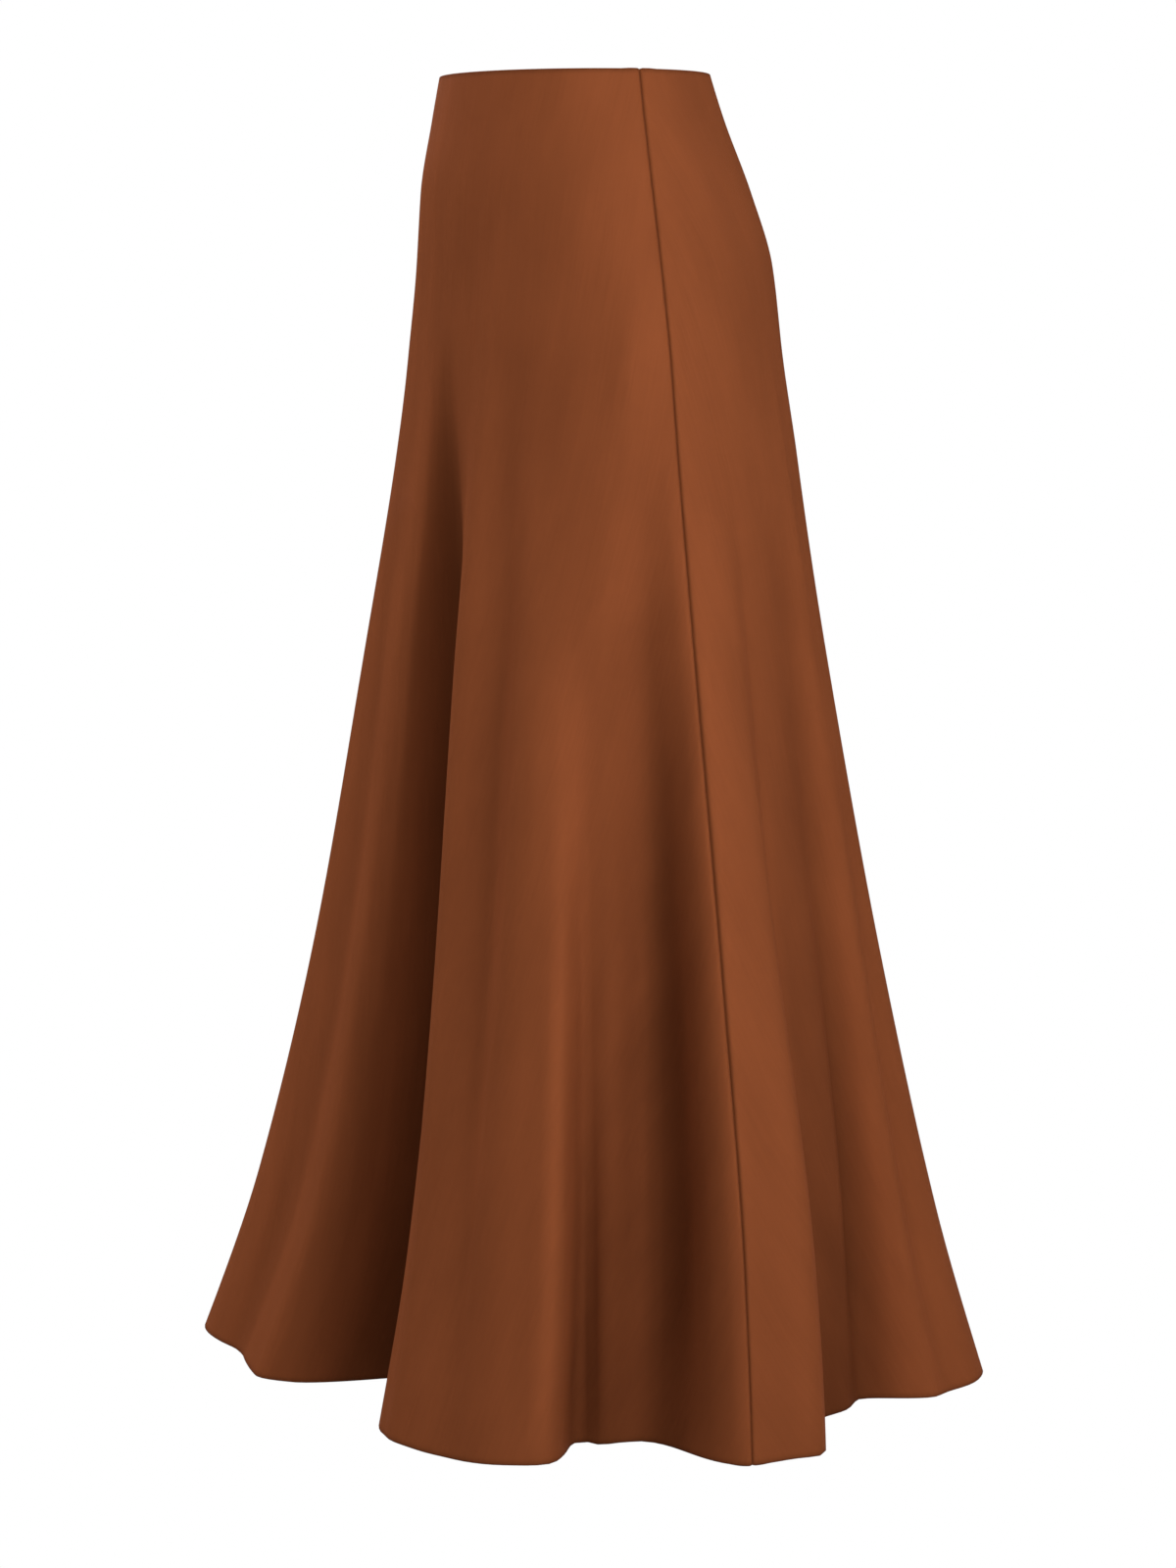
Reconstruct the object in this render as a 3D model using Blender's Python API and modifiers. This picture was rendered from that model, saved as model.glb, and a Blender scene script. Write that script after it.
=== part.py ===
"""A-line midi skirt in heavy satin, filled out as it is worn, with its hem falling in deep flutes.

The front and back panels are lofted walls that meet at the two side seams. The origin is the centre
of the waist line, +Z is up, the front faces -Y and the wearer's left is +X. The skirt hangs from the
waist, which is open, as is the hem. A concealed zip closes the wearer's right side seam.
"""

import math

import bmesh
import bpy
import numpy as np
from mathutils import Matrix, Vector

# Sizes in metres. Angles in degrees, anticlockwise seen from above, 0 at the wearer's left (+X).
LENGTH = 0.900
WAIST_EDGE_HEIGHT = 0.010
CLOTH_THICKNESS = 0.0015
SEAM_GAP = 0.0003
PANEL_COLUMNS = 60
PANEL_BANDS = 22
BAND_GROWTH = 1.2
HEM_SAMPLES = 1440
NORMAL_STEP = 1e-4
MERGE_DISTANCE = 1e-6

# The panels run from seam to seam. The left seam is at 0 and the right one at 180.
FRONT_PANEL_ANGLES = (-180.0, 0.0)
BACK_PANEL_ANGLES = (0.0, 180.0)

# The body of the skirt, without its flutes: one row for each horizontal section, by its drop below
# the waist edge. Front and back have their own depths on one half width.
SECTION_COLUMNS = ("drop", "half_width", "front_depth", "back_depth")
SECTIONS = (
    (0.000, 0.116, 0.090, 0.088),
    (0.030, 0.124, 0.095, 0.098),
    (0.080, 0.139, 0.102, 0.118),
    (0.130, 0.154, 0.103, 0.133),
    (0.190, 0.170, 0.107, 0.138),
    (0.260, 0.183, 0.114, 0.148),
    (0.400, 0.207, 0.131, 0.164),
    (0.600, 0.240, 0.156, 0.185),
    (0.780, 0.264, 0.192, 0.209),
    (0.900, 0.269, 0.236, 0.237),
)

# The flutes: one row for each crest or valley line, in order around the hem. A broad crest or valley
# has a second row for its other edge. The line runs from top_angle at the waist edge to hem_angle at
# the hem, where the wall stands at hem_radius from the axis. It starts at start_drop, and it opens
# more towards the hem where growth is above 1, or sooner where it is below 1.
FOLD_COLUMNS = ("name", "hem_angle", "top_angle", "hem_radius", "start_drop", "growth")
FOLDS = (
    ("front_right_crest", -126, -128, 0.280, 0.20, 1.0),
    ("front_notch", -106, -104, 0.238, 0.70, 1.3),
    ("front_crest", -94, -95, 0.236, 0.25, 1.3),
    ("front_crest_edge", -87, -87, 0.216, 0.18, 1.0),
    ("front_left_valley", -76, -72, 0.132, 0.17, 0.7),
    ("front_left_valley_edge", -69, -65, 0.145, 0.17, 0.8),
    ("front_left_rim", -53, -53, 0.249, 0.20, 1.1),
    ("front_left_crest", -34, -36, 0.289, 0.20, 0.8),
    ("front_left_crest_edge", -26, -26, 0.282, 0.25, 1.0),
    ("left_front_valley", -20, -17, 0.235, 0.25, 1.0),
    ("left_front_valley_edge", -12, -8, 0.240, 0.20, 0.7),
    ("left_crest", 0, 4, 0.309, 0.20, 1.0),
    ("left_crest_edge", 9, 10, 0.304, 0.20, 1.2),
    ("left_crest_back_edge", 14, 13, 0.252, 0.25, 1.1),
    ("left_back_valley", 33, 22, 0.236, 0.25, 0.7),
    ("back_left_crest_front", 41, 36, 0.280, 0.25, 1.0),
    ("back_left_crest", 55, 54, 0.294, 0.25, 1.3),
    ("back_left_valley", 76, 75, 0.206, 0.25, 1.2),
    ("back_crest", 93, 93, 0.264, 0.25, 1.25),
    ("back_crest_edge", 101, 100, 0.264, 0.25, 1.25),
    ("back_right_valley", 118, 118, 0.204, 0.22, 1.15),
    ("back_right_crest", 133, 134, 0.286, 0.25, 1.2),
    ("back_right_crest_edge", 142, 141, 0.286, 0.25, 1.2),
    ("right_back_valley", 160, 158, 0.230, 0.32, 1.3),
    ("right_crest", 180, 179, 0.303, 0.20, 1.1),
    ("right_crest_edge", 188, 186, 0.301, 0.20, 1.1),
    ("right_front_valley", 209, 206, 0.204, 0.24, 1.05),
)
# Each line leaves the body softly: it bends over this share of its length before it runs straight.
FOLD_START_SHARE = 0.12
# Rows that are repeated at each end of the fold table, so that it closes round the hem.
WRAP_ROWS = 2

# The concealed zip in the right side seam: its tapes inside the panels, and its slider at the top.
ZIP_ANGLE = 180.0
ZIP_LENGTH = 0.200
ZIP_TOP_DROP = 0.004
TAPE_WIDTH = 0.012
TAPE_THICKNESS = 0.0010
TAPE_CLEARANCE = 0.0006
TAPE_ROWS = 12
TAPE_COLUMNS = 3
NECK_GAP = 0.0015
NECK_GAP_DROP = 0.018
NECK_GAP_END_DROP = 0.040

# The slider and its pull tab, in the frame of the pull's axis: x out of the cloth, y along the axis
# and z up the seam.
PIVOT_DROP = 0.010
PIVOT_HEIGHT = 0.0013
PIVOT_CLEARANCE = 0.0003
CROWN_RADIUS = 0.0019
CROWN_THICKNESS = 0.0009
CROWN_HOLE_RADIUS = 0.0010
CROWN_SIDES = 24
NECK_HALF_HEIGHT = 0.0015
SLIDER_WIDTH = 0.0046
SLIDER_HEIGHT = 0.0080
SLIDER_DEPTH = 0.0022
SLIDER_BEVEL = 0.0005
SLIDER_BEVEL_STEPS = 2
PULL_THICKNESS = 0.0010
PULL_BAR = 0.0009
PULL_EYE_LENGTH = 0.0030
PULL_EYE_SIDE = 0.0010
PULL_LENGTH = 0.0220
PULL_END_RADIUS = 0.0027
PULL_BEVEL = 0.0002
PULL_BEVEL_STEPS = 1
PULL_ARC_STEPS = 10

SATIN_COLOUR = (0.200, 0.056, 0.020)
TAPE_COLOUR = (0.120, 0.036, 0.015)
ENAMEL_COLOUR = (0.170, 0.052, 0.022)
SATIN_ROUGHNESS = 0.45
TAPE_ROUGHNESS = 0.85
ENAMEL_ROUGHNESS = 0.35


def clear_scene():
    for found in list(bpy.context.scene.objects):
        bpy.data.objects.remove(found, do_unlink=True)


def new_collection(name):
    made = bpy.data.collections.new(name)
    bpy.context.scene.collection.children.link(made)
    return made


def new_material(name, colour, roughness):
    made = bpy.data.materials.new(name)
    made.use_nodes = True
    shader = made.node_tree.nodes["Principled BSDF"]
    shader.inputs["Base Color"].default_value = (*colour, 1.0)
    shader.inputs["Roughness"].default_value = roughness
    shader.inputs["Metallic"].default_value = 0.0
    return made


def mesh_object(name, points, faces, material, collection):
    mesh = bpy.data.meshes.new(name)
    mesh.from_pydata([tuple(p) for p in points], [], faces)
    mesh.materials.append(material)
    mesh.shade_smooth()
    made = bpy.data.objects.new(name, mesh)
    collection.objects.link(made)
    return made


def inner_slopes(places, values):
    """Slopes at the inner points of a smooth curve that never overshoots its points."""
    steps = np.diff(places, axis=-1)
    rises = np.diff(values, axis=-1) / steps
    before, after = rises[..., :-1], rises[..., 1:]
    weight_before = 2.0 * steps[..., 1:] + steps[..., :-1]
    weight_after = steps[..., 1:] + 2.0 * steps[..., :-1]
    monotone = before * after > 0.0
    safe_before = np.where(monotone, before, 1.0)
    safe_after = np.where(monotone, after, 1.0)
    mean = (weight_before + weight_after) / (weight_before / safe_before + weight_after / safe_after)
    return np.where(monotone, mean, 0.0)


def hermite(share, step, start, end, start_slope, end_slope):
    """A cubic between two points with a slope at each."""
    square, cube = share**2, share**3
    return (
        (2.0 * cube - 3.0 * square + 1.0) * start
        + (cube - 2.0 * square + share) * step * start_slope
        + (3.0 * square - 2.0 * cube) * end
        + (cube - square) * step * end_slope
    )


def end_slope(first_step, next_step, first_rise, next_rise):
    return ((2.0 * first_step + next_step) * first_rise - first_step * next_rise) / (first_step + next_step)


def section_sizes(drops):
    """Half width, front depth and back depth of the body at each drop."""
    table = np.array(SECTIONS)
    places = table[:, 0]
    steps = np.diff(places)
    segment = np.clip(np.searchsorted(places, drops, side="right") - 1, 0, len(places) - 2)
    share = (drops - places[segment]) / steps[segment]
    sizes = []
    for column in range(1, len(SECTION_COLUMNS)):
        values = table[:, column]
        rises = np.diff(values) / steps
        slopes = np.zeros(len(values))
        slopes[1:-1] = inner_slopes(places, values)
        slopes[0] = end_slope(steps[0], steps[1], rises[0], rises[1])
        slopes[-1] = end_slope(steps[-1], steps[-2], rises[-1], rises[-2])
        sizes.append(
            hermite(share, steps[segment], values[segment], values[segment + 1],
                    slopes[segment], slopes[segment + 1])
        )
    return sizes


def body_radius(angles, half_width, front_depth, back_depth):
    """Radius of the section: half an ellipse in front, half another behind, on one half width."""
    depth = np.where(np.sin(angles) < 0.0, front_depth, back_depth)
    return 1.0 / np.sqrt((np.cos(angles) / half_width) ** 2 + (np.sin(angles) / depth) ** 2)


def soft_ramp(share):
    """A line that rises from 0 with no corner at its start."""
    return np.sqrt(share**2 + FOLD_START_SHARE**2) - FOLD_START_SHARE


def fold_push(angles, drops):
    """How far the flutes move the wall out (or in, below 0) at each angle and drop."""
    hem_angles, top_angles, hem_radii, starts, growths = (
        np.array([row[column] for row in FOLDS]) for column in range(1, len(FOLD_COLUMNS))
    )
    hem_angles, top_angles = np.radians(hem_angles), np.radians(top_angles)
    hem_sizes = [size[0] for size in section_sizes(np.array([LENGTH]))]
    hem_push = hem_radii - body_radius(hem_angles, *hem_sizes)
    below = np.clip((drops[:, None] - starts) / (LENGTH - starts), 0.0, None)
    opened = soft_ramp(below) / soft_ramp(1.0)
    push = hem_push * opened**growths
    lines = top_angles + (hem_angles - top_angles) * drops[:, None] / LENGTH
    lines = np.hstack([lines[:, -WRAP_ROWS:] - math.tau, lines, lines[:, :WRAP_ROWS] + math.tau])
    push = np.hstack([push[:, -WRAP_ROWS:], push, push[:, :WRAP_ROWS]])
    slopes = np.zeros_like(push)
    slopes[:, 1:-1] = inner_slopes(lines, push)
    first = lines[:, :1].max()
    turned = (angles - first) % math.tau + first
    segment = (turned[:, :, None] >= lines[:, None, :]).sum(axis=2) - 1
    segment = np.clip(segment, 0, lines.shape[1] - 2)

    def at(table, shift):
        return np.take_along_axis(table, segment + shift, axis=1)

    step = at(lines, 1) - at(lines, 0)
    share = (turned - at(lines, 0)) / step
    return hermite(share, step, at(push, 0), at(push, 1), at(slopes, 0), at(slopes, 1))


def wall_points(angles, drops):
    """Points on the outside of the wall, for rows of angles (one row for each drop)."""
    sizes = [size[:, None] for size in section_sizes(drops)]
    radii = body_radius(angles, *sizes) + fold_push(angles, drops)
    heights = np.broadcast_to(WAIST_EDGE_HEIGHT - drops[:, None], radii.shape)
    return np.stack([radii * np.cos(angles), radii * np.sin(angles), heights], axis=-1)


def wall_normals(angles, drops):
    """Outward unit normals of the wall, from small steps along it."""
    around = wall_points(angles + NORMAL_STEP, drops) - wall_points(angles - NORMAL_STEP, drops)
    down = wall_points(angles, drops + NORMAL_STEP) - wall_points(angles, drops - NORMAL_STEP)
    normals = np.cross(down, around)
    return normals / np.linalg.norm(normals, axis=-1, keepdims=True)


def band_drops():
    """Drops of the rows of points: close at the waist and hips, wider below."""
    return LENGTH * (np.arange(PANEL_BANDS + 1) / PANEL_BANDS) ** BAND_GROWTH


def column_angles(seam_angles):
    """Angles that part the hem between two seams into equal lengths."""
    angles = np.radians(np.linspace(*seam_angles, HEM_SAMPLES))
    hem = wall_points(angles[None, :], np.array([LENGTH]))[0]
    lengths = np.concatenate([[0.0], np.cumsum(np.linalg.norm(np.diff(hem, axis=0), axis=1))])
    return np.interp(np.linspace(0.0, lengths[-1], PANEL_COLUMNS + 1), lengths, angles)


def seam_gaps(drops, has_zip):
    """Width of the gap at a seam: narrow, but parted round the slider's neck at the zip's top."""
    if not has_zip:
        return np.full(len(drops), SEAM_GAP)
    return np.interp(drops, (NECK_GAP_DROP, NECK_GAP_END_DROP), (NECK_GAP, SEAM_GAP))


def wall_faces(rows, columns):
    """Faces of a closed wall: an outer grid of points, then an inner one, and a rim along each edge.

    The outer grid's rows run down, and its angles grow along each row.
    """
    inner = rows * columns
    faces = []
    for row in range(rows - 1):
        for column in range(columns - 1):
            upper = row * columns + column
            lower = upper + columns
            faces.append((upper, lower, lower + 1, upper + 1))
            faces.append((inner + upper, inner + upper + 1, inner + lower + 1, inner + lower))
    last_row = (rows - 1) * columns
    for column in range(columns - 1):
        foot = last_row + column
        faces.append((column, column + 1, inner + column + 1, inner + column))
        faces.append((foot + 1, foot, inner + foot, inner + foot + 1))
    for row in range(rows - 1):
        start = row * columns
        end = start + columns - 1
        faces.append((start + columns, start, inner + start, inner + start + columns))
        faces.append((end, end + columns, inner + end + columns, inner + end))
    return faces


def wall_object(name, angles, drops, depth, thickness, material, collection):
    """A closed wall whose outer face lies depth inside the skirt's outer face.

    At its first and last columns the wall's edge is square to the seam, so that a seam's gap is even.
    """
    normals = wall_normals(angles, drops)
    edges = normals[:, [0, -1]]
    edges[..., 1] = 0.0
    normals[:, [0, -1]] = edges / np.linalg.norm(edges, axis=-1, keepdims=True)
    outer = wall_points(angles, drops) - depth * normals
    inner = outer - thickness * normals
    points = np.concatenate([outer.reshape(-1, 3), inner.reshape(-1, 3)])
    return mesh_object(name, points, wall_faces(*angles.shape), material, collection)


def panel(name, seam_angles, zip_column, material, collection):
    """One panel from seam to seam, with each seam edge drawn back by half the seam's gap."""
    drops = band_drops()
    angles = np.tile(column_angles(seam_angles), (len(drops), 1))
    for column, inward in ((0, 1.0), (PANEL_COLUMNS, -1.0)):
        seam = angles[:, column : column + 1]
        radius = np.linalg.norm(wall_points(seam, drops)[:, 0, :2], axis=-1)
        half_gap = 0.5 * seam_gaps(drops, column == zip_column)
        angles[:, column] += inward * np.arcsin(half_gap / radius)
    return wall_object(name, angles, drops, 0.0, CLOTH_THICKNESS, material, collection)


def zip_tape(name, side, material, collection):
    """A strip inside one panel along the zip. side is 1 on the back panel and -1 on the front one."""
    drops = np.linspace(ZIP_TOP_DROP, ZIP_TOP_DROP + ZIP_LENGTH, TAPE_ROWS)
    seam = np.full((TAPE_ROWS, 1), math.radians(ZIP_ANGLE))
    radius = np.linalg.norm(wall_points(seam, drops)[..., :2], axis=-1)
    half_gap = 0.5 * seam_gaps(drops, True)[:, None]
    across = half_gap + np.linspace(0.0, TAPE_WIDTH, TAPE_COLUMNS)
    angles = np.sort(seam - side * across / radius, axis=1)
    depth = CLOTH_THICKNESS + TAPE_CLEARANCE
    return wall_object(name, angles, drops, depth, TAPE_THICKNESS, material, collection)


def pivot_matrix():
    """Frame of the pull's axis: x out of the cloth, y along the axis and z up the seam."""
    angle, drop = np.radians([[ZIP_ANGLE]]), np.array([PIVOT_DROP])
    out = Vector(wall_normals(angle, drop)[0, 0])
    out.y = 0.0
    out.normalize()
    up = Vector((out.z, 0.0, -out.x))
    axis = up.cross(out)
    place = Vector(wall_points(angle, drop)[0, 0]) + PIVOT_HEIGHT * out
    place.y = 0.0
    turned = Matrix((out, axis, up)).transposed().to_4x4()
    return Matrix.Translation(place) @ turned


def box_object(name, low, high, collection):
    low, high = Vector(low), Vector(high)
    mesh = bpy.data.meshes.new(name)
    shape = bmesh.new()
    bmesh.ops.create_cube(shape, size=1.0)
    bmesh.ops.scale(shape, vec=high - low, verts=shape.verts)
    bmesh.ops.translate(shape, vec=0.5 * (low + high), verts=shape.verts)
    shape.to_mesh(mesh)
    shape.free()
    made = bpy.data.objects.new(name, mesh)
    collection.objects.link(made)
    return made


def disc_object(name, radius, thickness, collection):
    """A short cylinder about the y axis."""
    mesh = bpy.data.meshes.new(name)
    shape = bmesh.new()
    bmesh.ops.create_cone(shape, cap_ends=True, segments=CROWN_SIDES, radius1=radius, radius2=radius,
                          depth=thickness, matrix=Matrix.Rotation(math.radians(90.0), 4, "X"))
    shape.to_mesh(mesh)
    shape.free()
    made = bpy.data.objects.new(name, mesh)
    collection.objects.link(made)
    return made


def add_boolean(target, cutter, operation):
    cutter.hide_render = True
    cutter.display_type = "WIRE"
    cutter.parent = target
    boolean = target.modifiers.new(operation.title() + " " + cutter.name, "BOOLEAN")
    boolean.operation = operation
    boolean.object = cutter


def zip_slider(name, axis_empty, material, parts, cutters):
    """The slider's body behind the tapes, its neck through the seam and its crown outside."""
    back = -(PIVOT_HEIGHT + CLOTH_THICKNESS + TAPE_CLEARANCE + TAPE_THICKNESS + PIVOT_CLEARANCE)
    made = box_object(name, (back - SLIDER_DEPTH, -0.5 * SLIDER_WIDTH, -0.5 * SLIDER_HEIGHT),
                      (back, 0.5 * SLIDER_WIDTH, 0.5 * SLIDER_HEIGHT), parts)
    made.parent = axis_empty
    made.data.materials.append(material)
    bevel = made.modifiers.new("Edges", "BEVEL")
    bevel.width = SLIDER_BEVEL
    bevel.segments = SLIDER_BEVEL_STEPS
    neck = box_object("neck", (back - 0.5 * SLIDER_DEPTH, -0.5 * CROWN_THICKNESS, -NECK_HALF_HEIGHT),
                      (0.0, 0.5 * CROWN_THICKNESS, NECK_HALF_HEIGHT), cutters)
    add_boolean(made, neck, "UNION")
    add_boolean(made, disc_object("crown", CROWN_RADIUS, CROWN_THICKNESS, cutters), "UNION")
    add_boolean(made, disc_object("crown_hole", CROWN_HOLE_RADIUS, SLIDER_WIDTH, cutters), "DIFFERENCE")
    return made


def pull_outline():
    """The tab's outline as (y, z) points: a straight top bar, and sides that widen to a round end."""
    top = 0.5 * PULL_BAR
    half_width = 0.5 * CROWN_THICKNESS + PIVOT_CLEARANCE + PULL_EYE_SIDE
    centre = top - PULL_LENGTH + PULL_END_RADIUS
    points = [(-half_width, top), (-half_width, top - PULL_BAR - PULL_EYE_LENGTH)]
    for step in range(PULL_ARC_STEPS + 1):
        angle = math.pi + math.pi * step / PULL_ARC_STEPS
        points.append((PULL_END_RADIUS * math.cos(angle), centre + PULL_END_RADIUS * math.sin(angle)))
    points += [(half_width, top - PULL_BAR - PULL_EYE_LENGTH), (half_width, top)]
    return points


def zip_pull(name, axis_empty, material, parts):
    """The pull tab: a flat plate with an eye, whose top bar turns in the slider's crown."""
    eye_side = 0.5 * CROWN_THICKNESS + PIVOT_CLEARANCE
    eye_top = -0.5 * PULL_BAR
    eye = [(-eye_side, eye_top), (eye_side, eye_top), (eye_side, eye_top - PULL_EYE_LENGTH),
           (-eye_side, eye_top - PULL_EYE_LENGTH)]
    curve = bpy.data.curves.new(name + "_outline", "CURVE")
    curve.dimensions = "2D"
    curve.fill_mode = "BOTH"
    curve.extrude = 0.5 * PULL_THICKNESS
    for outline in (pull_outline(), eye):
        spline = curve.splines.new("POLY")
        spline.points.add(len(outline) - 1)
        for point, (across, along) in zip(spline.points, outline):
            point.co = (across, along, 0.0, 1.0)
        spline.use_cyclic_u = True
    flat = bpy.data.objects.new(name + "_outline", curve)
    parts.objects.link(flat)
    bpy.context.view_layer.update()
    evaluated = flat.evaluated_get(bpy.context.evaluated_depsgraph_get())
    mesh = bpy.data.meshes.new_from_object(evaluated)
    bpy.data.objects.remove(flat, do_unlink=True)
    shape = bmesh.new()
    shape.from_mesh(mesh)
    bmesh.ops.remove_doubles(shape, verts=shape.verts, dist=MERGE_DISTANCE)
    # The outline's x, y and extrusion become the axis frame's y, z and x.
    upright = Matrix(((0.0, 0.0, 1.0), (1.0, 0.0, 0.0), (0.0, 1.0, 0.0)))
    bmesh.ops.transform(shape, matrix=upright.to_4x4(), verts=shape.verts)
    bmesh.ops.recalc_face_normals(shape, faces=shape.faces)
    shape.to_mesh(mesh)
    shape.free()
    mesh.name = name
    mesh.materials.clear()
    mesh.materials.append(material)
    made = bpy.data.objects.new(name, mesh)
    parts.objects.link(made)
    made.parent = axis_empty
    bevel = made.modifiers.new("Edges", "BEVEL")
    bevel.width = PULL_BEVEL
    bevel.segments = PULL_BEVEL_STEPS
    return made


def build():
    clear_scene()
    parts = new_collection("a_line_midi_skirt")
    cutters = new_collection("cutters")
    satin = new_material("satin", SATIN_COLOUR, SATIN_ROUGHNESS)
    tape = new_material("zip_tape", TAPE_COLOUR, TAPE_ROUGHNESS)
    enamel = new_material("zip_enamel", ENAMEL_COLOUR, ENAMEL_ROUGHNESS)
    panel("front_panel", FRONT_PANEL_ANGLES, 0, satin, parts)
    panel("back_panel", BACK_PANEL_ANGLES, PANEL_COLUMNS, satin, parts)
    zip_tape("zip_tape_front", -1.0, tape, parts)
    zip_tape("zip_tape_back", 1.0, tape, parts)
    axis_empty = bpy.data.objects.new("pull_axis", None)
    axis_empty.matrix_world = pivot_matrix()
    parts.objects.link(axis_empty)
    zip_slider("zip_slider", axis_empty, enamel, parts, cutters)
    zip_pull("zip_pull", axis_empty, enamel, parts)


build()
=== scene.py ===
# A-line midi skirt in heavy satin, filled out as it is worn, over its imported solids.
import math

import bpy
import numpy as np
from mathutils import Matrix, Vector


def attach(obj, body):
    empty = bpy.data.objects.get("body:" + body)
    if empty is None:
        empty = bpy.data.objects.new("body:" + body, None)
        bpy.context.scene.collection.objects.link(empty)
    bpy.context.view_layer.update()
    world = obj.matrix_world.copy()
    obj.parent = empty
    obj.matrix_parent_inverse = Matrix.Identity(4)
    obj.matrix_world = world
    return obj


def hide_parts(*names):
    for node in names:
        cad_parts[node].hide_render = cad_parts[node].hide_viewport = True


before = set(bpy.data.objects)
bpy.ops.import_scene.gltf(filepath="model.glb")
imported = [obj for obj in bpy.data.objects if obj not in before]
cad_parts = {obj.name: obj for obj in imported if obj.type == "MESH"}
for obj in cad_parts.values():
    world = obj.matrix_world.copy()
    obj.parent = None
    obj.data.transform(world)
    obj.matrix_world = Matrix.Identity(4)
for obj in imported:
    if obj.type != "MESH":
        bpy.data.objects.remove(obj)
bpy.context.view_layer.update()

print("frame loaded:", ", ".join(sorted(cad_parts)))

# The skirt's form, which its panels and its zip share, in metres and degrees. Angles run
# anticlockwise seen from above, from 0 at the wearer's left seam, and drops run down from the
# waist edge.
skirtForm = {
    "length": 0.900,
    "waistEdgeHeight": 0.010,
    "foldStartShare": 0.12,
    "wrapRows": 2,
    # drop below the waist edge, half width, front depth, back depth
    "sections": (
        (0.000, 0.116, 0.090, 0.088),
        (0.030, 0.124, 0.095, 0.098),
        (0.080, 0.139, 0.102, 0.118),
        (0.130, 0.154, 0.103, 0.133),
        (0.190, 0.170, 0.107, 0.138),
        (0.260, 0.183, 0.114, 0.148),
        (0.400, 0.207, 0.131, 0.164),
        (0.600, 0.240, 0.156, 0.185),
        (0.780, 0.264, 0.192, 0.209),
        (0.900, 0.269, 0.236, 0.237),
    ),
    # flute line, angle at the hem, angle at the waist, radius at the hem, start drop, growth
    "flutes": (
        ("front right crest", -126, -128, 0.280, 0.20, 1.0),
        ("front notch", -106, -104, 0.238, 0.70, 1.3),
        ("front crest", -94, -95, 0.236, 0.25, 1.3),
        ("front crest edge", -87, -87, 0.216, 0.18, 1.0),
        ("front left valley", -76, -72, 0.132, 0.17, 0.7),
        ("front left valley edge", -69, -65, 0.145, 0.17, 0.8),
        ("front left rim", -53, -53, 0.249, 0.20, 1.1),
        ("front left crest", -34, -36, 0.289, 0.20, 0.8),
        ("front left crest edge", -26, -26, 0.282, 0.25, 1.0),
        ("left front valley", -20, -17, 0.235, 0.25, 1.0),
        ("left front valley edge", -12, -8, 0.240, 0.20, 0.7),
        ("left crest", 0, 4, 0.309, 0.20, 1.0),
        ("left crest edge", 9, 10, 0.304, 0.20, 1.2),
        ("left crest back edge", 14, 13, 0.252, 0.25, 1.1),
        ("left back valley", 33, 22, 0.236, 0.25, 0.7),
        ("back left crest front", 41, 36, 0.280, 0.25, 1.0),
        ("back left crest", 55, 54, 0.294, 0.25, 1.3),
        ("back left valley", 76, 75, 0.206, 0.25, 1.2),
        ("back crest", 93, 93, 0.264, 0.25, 1.25),
        ("back crest edge", 101, 100, 0.264, 0.25, 1.25),
        ("back right valley", 118, 118, 0.204, 0.22, 1.15),
        ("back right crest", 133, 134, 0.286, 0.25, 1.2),
        ("back right crest edge", 142, 141, 0.286, 0.25, 1.2),
        ("right back valley", 160, 158, 0.230, 0.32, 1.3),
        ("right crest", 180, 179, 0.303, 0.20, 1.1),
        ("right crest edge", 188, 186, 0.301, 0.20, 1.1),
        ("right front valley", 209, 206, 0.204, 0.24, 1.05),
    ),
}


# Slope at each inner point of a curve: the weighted harmonic mean of the slopes on its two sides,
# and 0 where they differ in sign, so that the curve never overshoots its points.
def innerSlopes(places, values):
    steps = np.diff(places, axis=-1)
    rises = np.diff(values, axis=-1) / steps
    before, after = rises[..., :-1], rises[..., 1:]
    weightBefore = 2.0 * steps[..., 1:] + steps[..., :-1]
    weightAfter = steps[..., 1:] + 2.0 * steps[..., :-1]
    monotone = before * after > 0.0
    safeBefore = np.where(monotone, before, 1.0)
    safeAfter = np.where(monotone, after, 1.0)
    mean = (weightBefore + weightAfter) / (weightBefore / safeBefore + weightAfter / safeAfter)
    return np.where(monotone, mean, 0.0)


# A cubic between two points with a slope at each.
def hermite(share, step, start, end, startSlope, endSlope):
    square, cube = share**2, share**3
    return (
        (2.0 * cube - 3.0 * square + 1.0) * start
        + (cube - 2.0 * square + share) * step * startSlope
        + (3.0 * square - 2.0 * cube) * end
        + (cube - square) * step * endSlope
    )


# Slope at an end point: that of a parabola through it and its two neighbours.
def outerSlope(firstStep, nextStep, firstRise, nextRise):
    rise = (2.0 * firstStep + nextStep) * firstRise - firstStep * nextRise
    return rise / (firstStep + nextStep)


# A smooth curve through points, taken at other places: a cubic from point to point.
def smoothCurve(places, values, wanted):
    steps = np.diff(places)
    rises = np.diff(values) / steps
    slopes = np.zeros(len(values))
    slopes[1:-1] = innerSlopes(places, values)
    slopes[0] = outerSlope(steps[0], steps[1], rises[0], rises[1])
    slopes[-1] = outerSlope(steps[-1], steps[-2], rises[-1], rises[-2])
    segment = np.clip(np.searchsorted(places, wanted, side="right") - 1, 0, len(places) - 2)
    share = (wanted - places[segment]) / steps[segment]
    return hermite(share, steps[segment], values[segment], values[segment + 1],
                   slopes[segment], slopes[segment + 1])


# Half width, front depth and back depth at each drop: smooth curves through the section table.
def sectionSizes(drops):
    table = np.array(skirtForm["sections"])
    return [smoothCurve(table[:, 0], column, drops) for column in table[:, 1:].T]


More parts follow.
